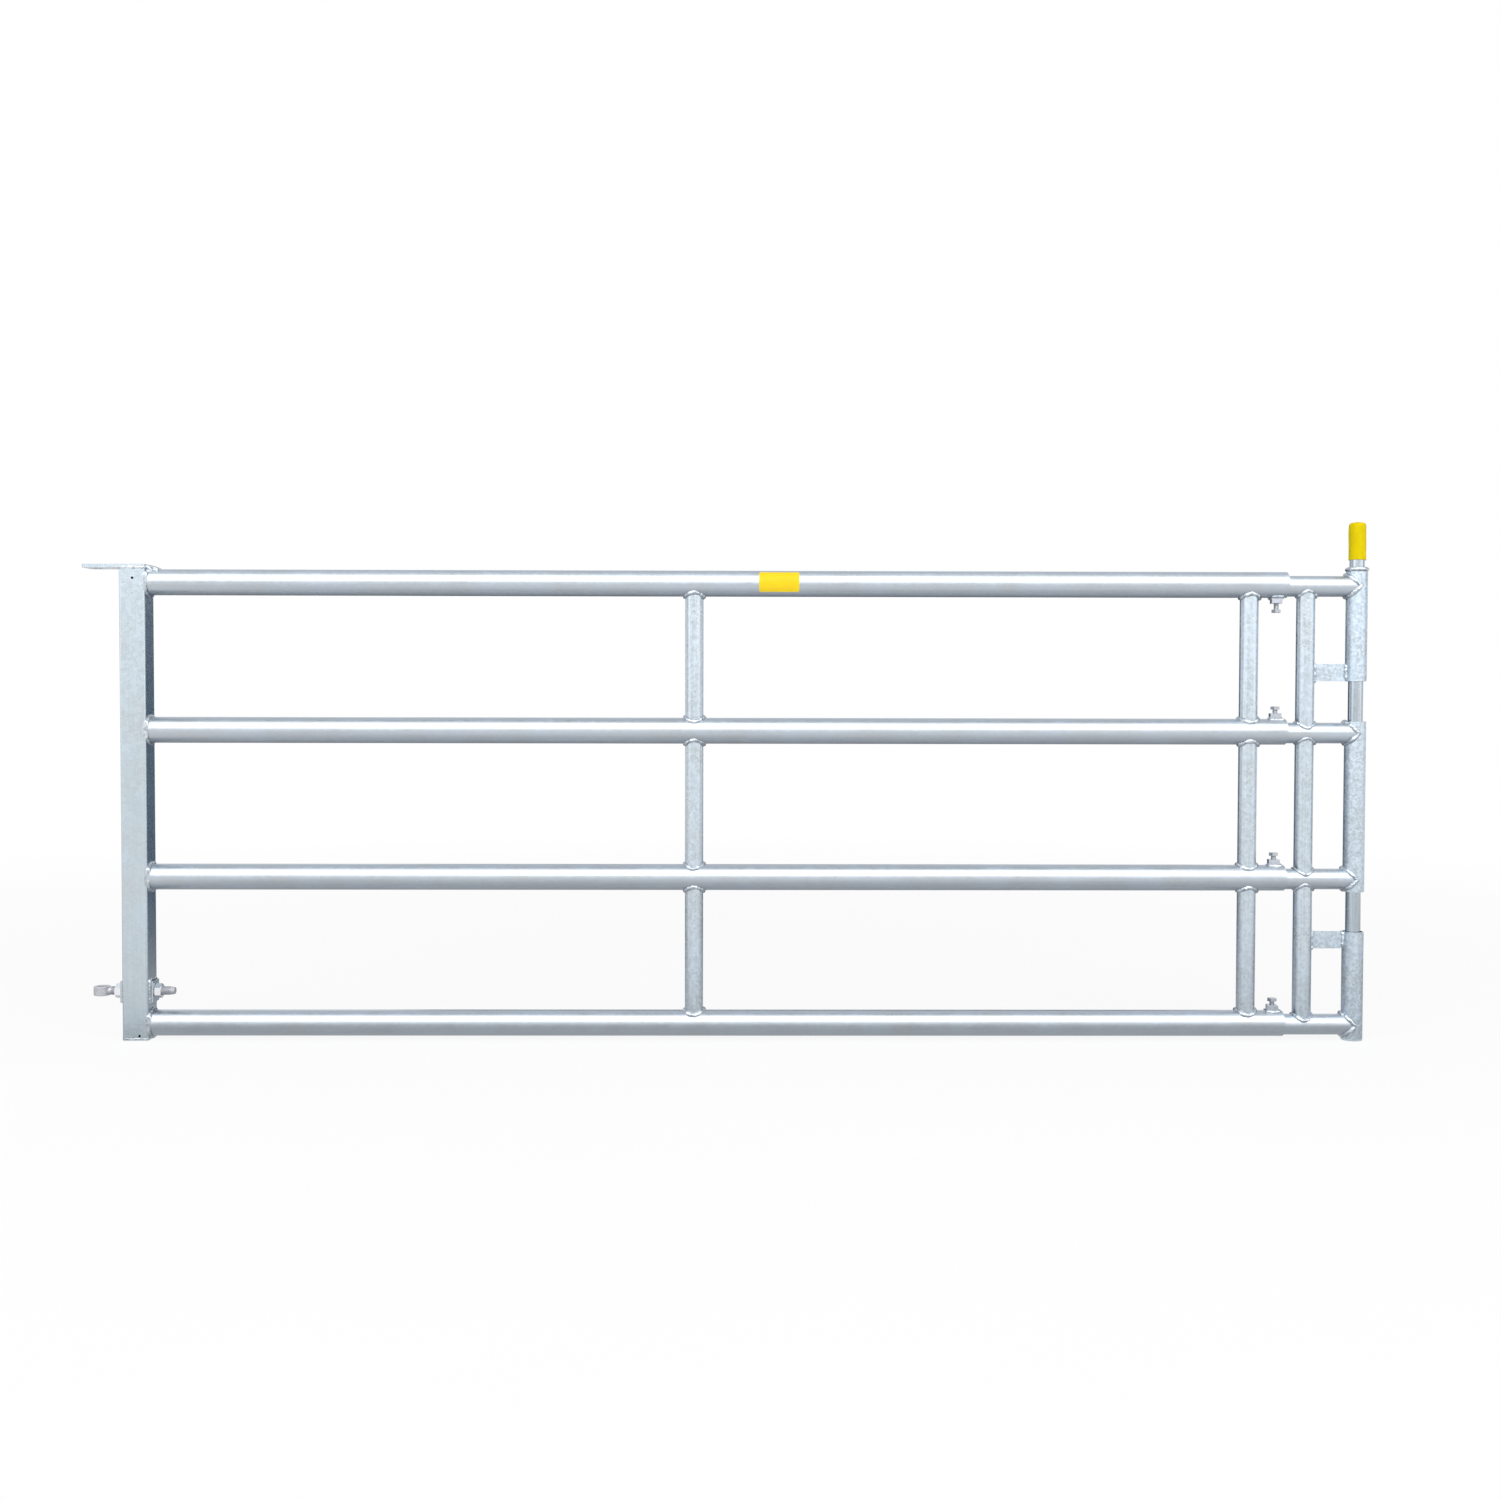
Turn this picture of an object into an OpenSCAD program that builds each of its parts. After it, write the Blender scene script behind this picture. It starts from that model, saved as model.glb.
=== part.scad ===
// Telescoping field gate of galvanised steel tube: a main frame on a square hinge post, a sliding frame
// that pulls out of it, and a lift-up latch rod at the free end.
// The hinge axis is the Z axis, the gate reaches along +X, its front faces -Y, and Z = 0 is half way through
// the upper hinge plate.

/* [Hinge post] */
// Side of the square post
post_w = 60; // [50:1:80]
// Wall of the post
post_wall = 3; // [2:0.5:4]
// Outer corner radius of the post
post_corner_r = 5; // [2:0.5:8]
// Inner corner radius of the post
post_inner_r = 2; // [0.5:0.5:6]
// Post above the axis of the top rail
post_head = 32; // [31:1:120]
// Post below the axis of the bottom rail
post_tail = 33; // [31:1:200]
// Thickness of the cap that closes the foot of the post
foot_cap_t = 4; // [2:0.5:8]
// Diameter of the vent holes that let the zinc drain
vent_d = 6; // [3:0.5:10]
// Upper vent hole off the middle of the post's front
upper_vent_offset = 2; // [-18:1:18]
// Upper vent hole below the top of the post
upper_vent_drop = 24; // [8:1:60]
// Lower vent hole off the middle of the post's front
lower_vent_offset = 10; // [-18:1:18]
// Lower vent hole above the foot of the post
lower_vent_rise = 7; // [6:1:25]

/* [Upper hinge] */
// Width of the flat bar on top of the post
hinge_plate_w = 60; // [40:1:80]
// Thickness of the flat bar
hinge_plate_t = 8; // [5:0.5:15]
// Corner radius of the flat bar
hinge_plate_corner_r = 6; // [1:0.5:15]
// Flat bar beyond the hinge axis
hinge_plate_nose = 28; // [18:1:60]
// Hinge axis to the near face of the post
hinge_reach = 57; // [50:1:120]
// Diameter of the pin hole in both hinges
hinge_pin_hole_d = 21; // [14:0.5:24]

/* [Lower hinge] */
// Eye bolt above the axis of the bottom rail
hinge_bolt_rise = 75; // [58:1:140]
// Thread diameter of the eye bolt
hinge_bolt_d = 20; // [14:1:22]
// Thread pitch of the eye bolt
hinge_bolt_pitch = 2.5; // [1.5:0.25:3]
// Diameter of the bolt's smooth neck
hinge_bolt_neck_d = 19; // [14:0.5:22]
// Thread past the inner nut
hinge_bolt_tail = 29; // [16:1:80]
// Smooth neck between the eye and the outer nut
hinge_bolt_neck_len = 4; // [1:0.5:6]
// Outer diameter of the eye
eye_d = 38; // [36:1:46]
// Thickness of the eye
eye_t = 20; // [16:1:30]
// Width across the flats of the hinge nuts
hinge_nut_af = 30; // [26:1:36]
// Height of the hinge nuts
hinge_nut_h = 16; // [10:0.5:18]
// Width of the doubler plates
doubler_w = 40; // [36:1:50]
// Height of the doubler plates
doubler_h = 50; // [38:1:80]
// Thickness of the doubler plates
doubler_t = 8; // [4:0.5:9]

/* [Main frame] */
// Outer diameter of the large rails
rail_d = 60.3; // [58:0.1:62]
// Wall of the large rails
rail_wall = 2.9; // [2:0.1:4]
// Rail axis to rail axis
rail_pitch = 342; // [330:1:420]
// Large rails from the post to their open end
rail_len = 2643; // [2000:1:4000]
// Outer diameter of all struts
strut_d = 42.4; // [33:0.1:46]
// Wall of all struts
strut_wall = 2.6; // [1.5:0.1:4]
// Open rail end to the axis of the end struts
end_strut_inset = 85; // [75:1:300]

/* [Sliding frame] */
// Outer diameter of the sliding rails
slide_rail_d = 48.3; // [44:0.1:50]
// Wall of the sliding rails
slide_rail_wall = 2.6; // [1.5:0.1:4]
// Sliding rails inside the large rails when the gate is shut up
slide_insert = 1400; // [1200:1:1900]
// Gap under the sliding rails, which lie on the floor of the large rails
slide_gap = 0.3; // [0.2:0.05:0.6]
// Open rail end to the struts of the sliding frame when the gate is shut up
shut_gap = 26; // [4.5:0.5:60]
// Strut axis to latch axis
latch_reach = 119; // [90:0.5:200]

/* [Latch tubes] */
// Outer diameter of the latch tubes
latch_tube_d = 48.3; // [46:0.1:54]
// Wall of the latch tubes
latch_tube_wall = 2.6; // [2:0.1:4]
// Height of the two gaps between the latch tubes
latch_gap = 94; // [60:1:110]
// Length of the upper and lower latch tube
latch_short_len = 255; // [245:1:270]
// Upper latch tube above the axis of the top rail
latch_head = 34; // [30:1:60]
// Lower latch tube below the axis of the bottom rail
latch_tail = 36; // [30:1:60]
// Width of the flat braces
brace_h = 40; // [20:1:60]
// Thickness of the flat braces
brace_t = 6; // [4:0.5:12]

/* [Latch rod] */
// Outer diameter of the rod's tubes
rod_d = 33.7; // [30:0.1:35]
// Wall of the rod's tubes
rod_wall = 2.6; // [1.5:0.1:4]
// Diameter of the core bar that carries the rod's tubes
core_d = 20; // [12:0.5:22]
// Thickness of the discs that hold the tubes on the core bar
plug_t = 8; // [4:0.5:15]
// Rod tubes past the edge of their gap
latch_bite = 15; // [8:1:25]
// Rod tubes above their gap when lifted
latch_clear = 3; // [2:0.5:6]
// Core bar inside the upper rod tube
core_spare = 18; // [5:1:40]
// Bar that the stop ring is bent from
ring_bar_d = 10; // [8:0.5:12]
// Grip above the upper latch tube
grip_rise = 27; // [15:1:60]
// Length of the grip
grip_len = 87; // [60:1:150]
// Wall of the grip
grip_wall = 2.8; // [1.5:0.1:4]
// Top of the grip over the rod's end
grip_top_t = 3; // [2:0.5:6]
// Rounding of the grip's top edge
grip_round_r = 7; // [4:0.5:12]
// Diameter of the moulding nub on the grip
nub_d = 8; // [4:0.5:12]
// Height of the moulding nub
nub_h = 2; // [1:0.5:4]

/* [Clamps] */
// Open rail end to the axis of the clamp screws
clamp_inset = 22; // [15:1:44]
// Side of the square weld nuts
clamp_nut_w = 25; // [20:0.5:32]
// Height of the weld nuts over the rail
clamp_nut_h = 13; // [8:0.5:16]
// Thread diameter of the clamp screws
screw_d = 12; // [8:1:14]
// Thread pitch of the clamp screws
screw_pitch = 1.75; // [1:0.25:2]
// Clamp screws below the head
screw_len = 30; // [28:1:50]
// Diameter of the screw's plain tip
screw_tip_d = 8.5; // [5:0.5:9]
// Length of the screw's plain tip
screw_tip_len = 4; // [2:0.5:8]
// Width across the flats of the screw heads
screw_head_af = 19; // [15:1:24]
// Height of the screw heads
screw_head_h = 7.5; // [5:0.5:10]

/* [Sticker] */
// Length of the sticker on the top rail
sticker_len = 93; // [40:1:160]
// Thickness of the sticker
sticker_t = 0.3; // [0.2:0.05:0.5]
// Part of the rail's round that the sticker covers, in degrees
sticker_arc = 98; // [40:1:150]
// Middle of the sticker above the front of the rail, in degrees
sticker_tilt = 7; // [-30:1:45]
// Centre struts to the middle of the sticker
sticker_offset = 197; // [100:1:900]

/* [Hidden] */
$fn = 96;
zinc = [0.74, 0.78, 0.82];
zinc_matt = [0.64, 0.69, 0.74];
weld_grey = [0.80, 0.82, 0.84];
bolt_grey = [0.55, 0.55, 0.58];
grip_yellow = [0.92, 0.80, 0.05];
sticker_yellow = [0.97, 0.82, 0.10];

// Leg of a weld bead, and the gap that a weld or a press fit leaves between two pieces
bead = 4;
weld_gap = 0.1;
// Room round a bolt in a plain hole, round a thread in its nut, and between a piece and its stop
hole_gap = 0.75;
thread_gap = 0.15;
stop_gap = 0.3;
// How far a cut runs past the surface that it opens
cut = 1;
// Depth of a thread as a share of its pitch, and a nut's flat end as a share of its width across the flats
thread_depth_share = 0.6;
hex_face_share = 0.95;
// Slope of the corners of nuts and heads, in degrees
chamfer_angle = 30;

RAIL_COUNT = 4;
LEVELS = ["top", "upper", "lower", "bottom"];
BAYS = ["top", "middle", "bottom"];

post_x = hinge_reach + post_w / 2;
post_far_x = hinge_reach + post_w;
post_top_z = -hinge_plate_t / 2;
post_len = post_head + (RAIL_COUNT - 1) * rail_pitch + post_tail;
post_foot_z = post_top_z - post_len;
top_rail_z = post_top_z - post_head;
hinge_bolt_z = top_rail_z - (RAIL_COUNT - 1) * rail_pitch + hinge_bolt_rise;
outer_nut_x = hinge_reach - doubler_t - hinge_nut_h;
inner_nut_x = post_far_x + doubler_t;
thread_start_x = eye_d / 2 + hinge_bolt_neck_len;
hinge_bolt_end_x = inner_nut_x + hinge_nut_h + hinge_bolt_tail;

rail_bore_d = rail_d - 2 * rail_wall;
rail_end_x = post_far_x + rail_len;
end_strut_x = rail_end_x - end_strut_inset;
centre_strut_x = (post_x + end_strut_x) / 2;
clamp_x = rail_end_x - clamp_inset;

slide_drop = (rail_bore_d - slide_rail_d) / 2 - slide_gap;
slide_start_x = rail_end_x - slide_insert;
slide_strut_x = rail_end_x + shut_gap + strut_d / 2;
latch_x = slide_strut_x + latch_reach;

latch_top_z = top_rail_z - slide_drop + latch_head;
latch_bottom_z = top_rail_z - slide_drop - (RAIL_COUNT - 1) * rail_pitch - latch_tail;
upper_gap_top_z = latch_top_z - latch_short_len;
upper_gap_z = upper_gap_top_z - latch_gap;
lower_gap_z = latch_bottom_z + latch_short_len;
lower_gap_top_z = lower_gap_z + latch_gap;
latch_lift = latch_gap + latch_bite + latch_clear;

rod_bore_d = rod_d - 2 * rod_wall;
upper_rod_z = upper_gap_z - latch_bite;
grip_z = latch_top_z + grip_rise;
rod_top_z = grip_z + grip_len - grip_top_t - weld_gap;
lower_rod_z = lower_gap_z - latch_bite;
lower_rod_top_z = lower_rod_z + latch_lift + latch_bite;

// Axis height of a large rail and of the sliding rail in it, counted from the top
function rail_z(level) = top_rail_z - level * rail_pitch;
function slide_z(level) = rail_z(level) - slide_drop;
// The top rail is clamped from below, the others from above
function clamp_turn(level) = level == 0 ? 180 : 0;

// A bar along +X, a tube along +X and a tube along +Z, each from the origin
module bar_x(d, len) {
    rotate([0, 90, 0]) cylinder(d = d, h = len);
}

module tube_x(d, wall, len) {
    difference() {
        bar_x(d, len);
        translate([-cut, 0, 0]) bar_x(d - 2 * wall, len + 2 * cut);
    }
}

module tube_z(d, wall, len) {
    difference() {
        cylinder(d = d, h = len);
        translate([0, 0, -cut]) cylinder(d = d - 2 * wall, h = len + 2 * cut);
    }
}

// A rectangle round the origin with round corners
module round_rect(x, y, r) {
    square([x - 2 * r, y], center = true);
    square([x, y - 2 * r], center = true);
    for (sx = [-1, 1], sy = [-1, 1])
        translate([sx * (x / 2 - r), sy * (y / 2 - r)]) circle(r = r);
}

// A bolt's thread along +Z, as a stack of ridges on its core
module thread(d, pitch, len) {
    core_r = d / 2 - thread_depth_share * pitch;
    turns = floor(len / pitch);
    ridges = [for (i = [0 : turns - 1]) each [[core_r, i * pitch], [d / 2, (i + 1 / 2) * pitch]]];
    rotate_extrude()
        polygon(concat([[0, 0]], ridges, [[core_r, turns * pitch], [core_r, len], [0, len]]));
}

// A hexagon along +Z, with its corners sloped at the top, and at the bottom too for a nut
module hex_block(af, h, both_ends) {
    face_d = hex_face_share * af;
    wide_d = face_d + 2 * h / tan(chamfer_angle);
    intersection() {
        cylinder(d = af / cos(30), h = h, $fn = 6);
        cylinder(d1 = wide_d, d2 = face_d, h = h);
        if (both_ends) cylinder(d1 = face_d, d2 = wide_d, h = h);
        else cylinder(d = wide_d, h = h);
    }
}

// The weld round a tube along +Z that stands on a tube along X through the origin
module saddle_bead(branch_d, main_d) {
    difference() {
        intersection() {
            translate([0, 0, bead]) cylinder(d = branch_d + 2 * bead, h = main_d / 2);
            translate([-branch_d, 0, 0]) bar_x(main_d + 2 * bead, 2 * branch_d);
        }
        translate([0, 0, -cut]) cylinder(d = branch_d + 2 * weld_gap, h = main_d + bead);
        translate([-branch_d - cut, 0, 0]) bar_x(main_d + 2 * weld_gap, 2 * (branch_d + cut));
    }
}

// The hinge post and what is welded to it

module hinge_post() {
    color(zinc) difference() {
        translate([post_x, 0, post_foot_z]) linear_extrude(post_len) difference() {
            round_rect(post_w, post_w, post_corner_r);
            round_rect(post_w - 2 * post_wall, post_w - 2 * post_wall, post_inner_r);
        }
        translate([hinge_reach - cut, 0, hinge_bolt_z]) bar_x(hinge_bolt_d + 2 * hole_gap, post_w + 2 * cut);
        translate([post_x + upper_vent_offset, 0, post_top_z - upper_vent_drop])
            rotate([90, 0, 0]) cylinder(d = vent_d, h = post_w);
        translate([post_x + lower_vent_offset, 0, post_foot_z + lower_vent_rise])
            rotate([90, 0, 0]) cylinder(d = vent_d, h = post_w);
    }
}

module post_foot_cap() {
    color(zinc) translate([post_x, 0, post_foot_z - foot_cap_t])
        linear_extrude(foot_cap_t) round_rect(post_w, post_w, post_corner_r);
}

module upper_hinge_plate() {
    plate_len = hinge_plate_nose + post_far_x;
    color(zinc) difference() {
        translate([plate_len / 2 - hinge_plate_nose, 0, post_top_z])
            linear_extrude(hinge_plate_t) round_rect(plate_len, hinge_plate_w, hinge_plate_corner_r);
        translate([0, 0, post_top_z - cut]) cylinder(d = hinge_pin_hole_d, h = hinge_plate_t + 2 * cut);
    }
}

module hinge_doubler(x) {
    color(zinc) difference() {
        translate([x, -doubler_w / 2, hinge_bolt_z - doubler_h / 2]) cube([doubler_t, doubler_w, doubler_h]);
        translate([x - cut, 0, hinge_bolt_z]) bar_x(hinge_bolt_d + 2 * hole_gap, doubler_t + 2 * cut);
    }
}

module post_welds() {
    color(weld_grey) for (level = [0 : RAIL_COUNT - 1])
        translate([post_far_x + weld_gap, 0, rail_z(level)]) intersection() {
            rotate([0, 90, 0]) difference() {
                cylinder(d1 = rail_d + 2 * bead, d2 = rail_d, h = bead);
                translate([0, 0, -cut]) cylinder(d = rail_d + 2 * weld_gap, h = bead + 2 * cut);
            }
            translate([0, post_corner_r - post_w / 2, -rail_d]) cube([bead, post_w - 2 * post_corner_r, 2 * rail_d]);
        }
}

// The main frame

module rail(level) {
    color(zinc) translate([post_far_x + weld_gap, 0, rail_z(level)]) difference() {
        tube_x(rail_d, rail_wall, rail_len - weld_gap);
        translate([clamp_x - post_far_x - weld_gap, 0, 0]) rotate([clamp_turn(level), 0, 0])
            cylinder(d = screw_d + 2 * hole_gap, h = rail_d);
    }
}

// A strut along Z between two rails, cut to sit on their round
module strut(x, top_z, rail_size) {
    difference() {
        translate([x, 0, top_z - rail_pitch]) tube_z(strut_d, strut_wall, rail_pitch);
        for (z = [top_z, top_z - rail_pitch])
            translate([x - strut_d, 0, z]) bar_x(rail_size + 2 * weld_gap, 2 * strut_d);
    }
}

// The welds at both ends of the three struts in one column
module strut_welds(x, top_z, rail_size) {
    for (bay = [0 : RAIL_COUNT - 2]) {
        translate([x, 0, top_z - bay * rail_pitch]) rotate([180, 0, 0]) saddle_bead(strut_d, rail_size);
        translate([x, 0, top_z - (bay + 1) * rail_pitch]) saddle_bead(strut_d, rail_size);
    }
}

module clamp_nut(level) {
    nut_top = rail_d / 2 + clamp_nut_h;
    face_d = hex_face_share * clamp_nut_w;
    wide_d = face_d + 2 * nut_top / tan(chamfer_angle);
    color(zinc_matt) translate([clamp_x, 0, rail_z(level)]) rotate([clamp_turn(level), 0, 0]) difference() {
        intersection() {
            translate([-clamp_nut_w / 2, -clamp_nut_w / 2, 0]) cube([clamp_nut_w, clamp_nut_w, nut_top]);
            cylinder(d1 = wide_d, d2 = face_d, h = nut_top);
        }
        translate([-clamp_nut_w, 0, 0]) bar_x(rail_d + 2 * weld_gap, 2 * clamp_nut_w);
        cylinder(d = screw_d + 2 * thread_gap, h = nut_top + cut);
    }
}

module rail_sticker() {
    color(sticker_yellow) translate([centre_strut_x + sticker_offset - sticker_len / 2, 0, rail_z(0)])
        rotate([0, 90, 0]) rotate([0, 0, 270 - sticker_tilt - sticker_arc / 2])
            rotate_extrude(angle = sticker_arc) translate([rail_d / 2 + weld_gap, 0]) square([sticker_t, sticker_len]);
}

// The sliding frame

module slide_rail(level) {
    color(zinc) difference() {
        translate([slide_start_x, 0, slide_z(level)])
            tube_x(slide_rail_d, slide_rail_wall, latch_x - slide_start_x);
        translate([latch_x, 0, slide_z(level) - slide_rail_d])
            cylinder(d = latch_tube_d + 2 * weld_gap, h = 2 * slide_rail_d);
    }
}

module latch_tube(z, len) {
    color(zinc_matt) translate([latch_x, 0, z]) tube_z(latch_tube_d, latch_tube_wall, len);
}

module latch_brace(z) {
    color(zinc_matt) difference() {
        translate([slide_strut_x, -brace_t / 2, z]) cube([latch_reach, brace_t, brace_h]);
        translate([slide_strut_x, 0, z - cut]) cylinder(d = strut_d + 2 * weld_gap, h = brace_h + 2 * cut);
        translate([latch_x, 0, z - cut]) cylinder(d = latch_tube_d + 2 * weld_gap, h = brace_h + 2 * cut);
    }
}

module latch_tube_welds() {
    color(weld_grey) for (level = [0 : RAIL_COUNT - 1])
        translate([latch_x, 0, slide_z(level)]) rotate([0, -90, 0]) saddle_bead(slide_rail_d, latch_tube_d);
}

// The latch rod

module latch_rod(z, top_z) {
    color(zinc) translate([latch_x, 0, z]) tube_z(rod_d, rod_wall, top_z - z);
}

module latch_core_bar() {
    color(bolt_grey) translate([latch_x, 0, lower_rod_z])
        cylinder(d = core_d, h = upper_rod_z + core_spare - lower_rod_z);
}

module latch_plug_discs() {
    color(bolt_grey) for (z = [upper_rod_z, lower_rod_top_z - plug_t, lower_rod_z])
        translate([latch_x, 0, z]) tube_z(rod_bore_d - 2 * weld_gap, (rod_bore_d - core_d) / 2 - 2 * weld_gap, plug_t);
}

module latch_stop_ring() {
    color(zinc_matt) translate([latch_x, 0, latch_top_z + stop_gap + ring_bar_d / 2])
        rotate_extrude() translate([(rod_d + ring_bar_d) / 2 + weld_gap, 0]) circle(d = ring_bar_d);
}

module latch_grip() {
    bore_d = rod_d + 2 * weld_gap;
    grip_r = bore_d / 2 + grip_wall;
    side_h = grip_len - grip_round_r;
    color(grip_yellow) translate([latch_x, 0, grip_z]) difference() {
        union() {
            cylinder(r = grip_r, h = side_h);
            translate([0, 0, side_h]) rotate_extrude() translate([grip_r - grip_round_r, 0]) circle(r = grip_round_r);
            cylinder(r = grip_r - grip_round_r, h = grip_len);
            cylinder(d = nub_d, h = grip_len + nub_h);
        }
        translate([0, 0, -cut]) cylinder(d = bore_d, h = grip_len - grip_top_t + cut);
    }
}

// Screws, bolt and nuts

module clamp_screw(level) {
    turn = clamp_turn(level);
    seat = slide_rail_d / 2 + stop_gap;
    color(bolt_grey) translate([clamp_x, 0, slide_z(level)]) rotate([turn, 0, 0]) translate([0, 0, seat]) {
        cylinder(d = screw_tip_d, h = screw_tip_len);
        translate([0, 0, screw_tip_len]) thread(screw_d, screw_pitch, screw_len - screw_tip_len);
        translate([0, 0, screw_len]) hex_block(screw_head_af, screw_head_h, false);
    }
}

module hinge_eye_bolt() {
    color(bolt_grey) difference() {
        translate([0, 0, hinge_bolt_z]) {
            translate([0, 0, -eye_t / 2]) cylinder(d = eye_d, h = eye_t);
            bar_x(hinge_bolt_neck_d, thread_start_x);
            translate([thread_start_x, 0, 0]) rotate([0, 90, 0])
                thread(hinge_bolt_d, hinge_bolt_pitch, hinge_bolt_end_x - thread_start_x);
        }
        translate([0, 0, hinge_bolt_z - eye_t]) cylinder(d = hinge_pin_hole_d, h = 2 * eye_t);
    }
}

module hinge_nut(x) {
    color(zinc) translate([x, 0, hinge_bolt_z]) rotate([0, 90, 0]) difference() {
        hex_block(hinge_nut_af, hinge_nut_h, true);
        translate([0, 0, -cut]) cylinder(d = hinge_bolt_d + 2 * thread_gap, h = hinge_nut_h + 2 * cut);
    }
}

hinge_post();
post_foot_cap();
upper_hinge_plate();
hinge_doubler(hinge_reach - doubler_t);  // hinge_doubler_outer
hinge_doubler(post_far_x);  // hinge_doubler_inner
post_welds();
for (i = [0 : RAIL_COUNT - 1]) {
    rail(i);
    clamp_nut(i);
    slide_rail(i);
    clamp_screw(i);
}
for (i = [0 : RAIL_COUNT - 2]) {
    color(zinc) strut(centre_strut_x, rail_z(i), rail_d);
    color(zinc) strut(end_strut_x, rail_z(i), rail_d);
    color(zinc_matt) strut(slide_strut_x, slide_z(i), slide_rail_d);
}
color(weld_grey) strut_welds(centre_strut_x, rail_z(0), rail_d);  // centre_strut_welds
color(weld_grey) strut_welds(end_strut_x, rail_z(0), rail_d);  // end_strut_welds
rail_sticker();
latch_tube(upper_gap_top_z, latch_short_len);  // latch_tube_upper
latch_tube(lower_gap_top_z, upper_gap_z - lower_gap_top_z);  // latch_tube_middle
latch_tube(latch_bottom_z, latch_short_len);  // latch_tube_lower
latch_brace(upper_gap_top_z);  // latch_brace_upper
latch_brace(lower_gap_z - brace_h);  // latch_brace_lower
color(weld_grey) strut_welds(slide_strut_x, slide_z(0), slide_rail_d);  // slide_strut_welds
latch_tube_welds();
latch_rod(upper_rod_z, rod_top_z);  // latch_rod_upper
latch_rod(lower_rod_z, lower_rod_top_z);  // latch_rod_lower
latch_core_bar();
latch_plug_discs();
latch_stop_ring();
latch_grip();
hinge_eye_bolt();
hinge_nut(outer_nut_x);  // hinge_nut_outer
hinge_nut(inner_nut_x);  // hinge_nut_inner
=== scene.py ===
# %% [markdown]
# A telescoping field gate of galvanised steel tube. Its shapes come from a CAD model that is already packed,
# with every tube at its place in metres, so this lesson adds what CAD leaves out: the finish of the zinc, the
# beads of the welders, real threads on the bolts, a soft yellow grip and a plain yellow sticker.
# The CAD nodes are never moved. New pieces ride on the same bodies, so that they follow the gate's joints.

# %% Load the CAD frame
import math

import bpy
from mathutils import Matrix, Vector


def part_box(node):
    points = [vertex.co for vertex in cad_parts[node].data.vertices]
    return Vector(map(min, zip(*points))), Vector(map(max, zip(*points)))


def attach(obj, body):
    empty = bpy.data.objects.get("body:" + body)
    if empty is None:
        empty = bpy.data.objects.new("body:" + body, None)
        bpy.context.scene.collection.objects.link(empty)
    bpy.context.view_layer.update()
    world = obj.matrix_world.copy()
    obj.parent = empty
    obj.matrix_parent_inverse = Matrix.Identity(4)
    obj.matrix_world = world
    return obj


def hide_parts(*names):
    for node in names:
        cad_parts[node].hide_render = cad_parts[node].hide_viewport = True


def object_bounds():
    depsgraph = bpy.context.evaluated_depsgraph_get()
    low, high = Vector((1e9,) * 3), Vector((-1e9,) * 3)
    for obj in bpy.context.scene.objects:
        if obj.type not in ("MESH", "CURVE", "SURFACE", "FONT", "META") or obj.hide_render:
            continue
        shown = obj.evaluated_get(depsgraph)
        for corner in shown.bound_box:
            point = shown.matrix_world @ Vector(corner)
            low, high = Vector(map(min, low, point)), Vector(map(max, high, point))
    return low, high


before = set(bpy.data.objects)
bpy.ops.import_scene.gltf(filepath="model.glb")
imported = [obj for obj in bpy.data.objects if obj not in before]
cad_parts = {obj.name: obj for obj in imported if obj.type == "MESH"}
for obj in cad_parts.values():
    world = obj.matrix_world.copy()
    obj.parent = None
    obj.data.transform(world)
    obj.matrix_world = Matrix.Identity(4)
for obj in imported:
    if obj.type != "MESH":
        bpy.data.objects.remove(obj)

cad_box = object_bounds()
print("CAD nodes:", len(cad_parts), "from", tuple(cad_box[0]), "to", tuple(cad_box[1]))

# %% [markdown]
# The camera comes first, because every later look is judged through it. Its place was worked out from about
# thirty points of the gate in the picture: 3.7 m in front of the gate, a little above the second rail, and
# tipped down by a degree and a half. The focal length is a share of the picture's width, and the width of the
# sensor turns it into the millimetres that Blender asks for.

# %% Camera
CAMERA_PLACE = (1.4829, -3.7000, -0.3210)
CAMERA_DOWN = 0.0275
CAMERA_TURN = (math.pi / 2 - CAMERA_DOWN, -0.0019, -0.0076)
SENSOR = 36.0
FOCAL_SHARE = 1586.9 / 1500

scene = bpy.context.scene
bpy.ops.object.camera_add(location=CAMERA_PLACE, rotation=CAMERA_TURN)
camera = bpy.context.object
camera.name = "front_camera"
camera.data.sensor_width = SENSOR
camera.data.lens = SENSOR * FOCAL_SHARE
scene.camera = camera
scene.view_settings.view_transform = "Standard"
print("camera lens", round(camera.data.lens, 2), "mm")

# %% [markdown]
# A material in Blender is a small net of nodes. Two helpers keep the nets short: one starts a material and
# hands back its shader, the other adds a node and joins its inputs. All patterns read Object coordinates, which
# are metres on the gate, so a scale of 100 gives marks of about 10 mm wherever they fall.

# %% Helpers to start a finish
def new_finish(name):
    """A material with only its shader, and the Object coordinates that its patterns read."""
    finish = bpy.data.materials.new(name)
    finish.use_nodes = True
    tree = finish.node_tree
    coords = tree.nodes.new("ShaderNodeTexCoord").outputs["Object"]
    return finish, tree, tree.nodes["Principled BSDF"], coords


def add_node(tree, kind, inputs, **settings):
    """A node with its settings, and inputs that are either a value or another node's output."""
    node = tree.nodes.new(kind)
    for name, value in settings.items():
        setattr(node, name, value)
    for name, value in inputs.items():
        if isinstance(value, bpy.types.NodeSocket):
            tree.links.new(value, node.inputs[name])
        else:
            node.inputs[name].default_value = value
    return node

# %% [markdown]
# Most finishes are put together from the same few nodes: soft clouds, a value moved to another range, a mix of
# two colours, a sum and a bump. Each has a helper with a plain name, so that the recipes below are easy to read.

# %% Helpers for the parts of a finish
def rgba(red, green, blue):
    """A colour with full cover."""
    return (red, green, blue, 1.0)


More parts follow.
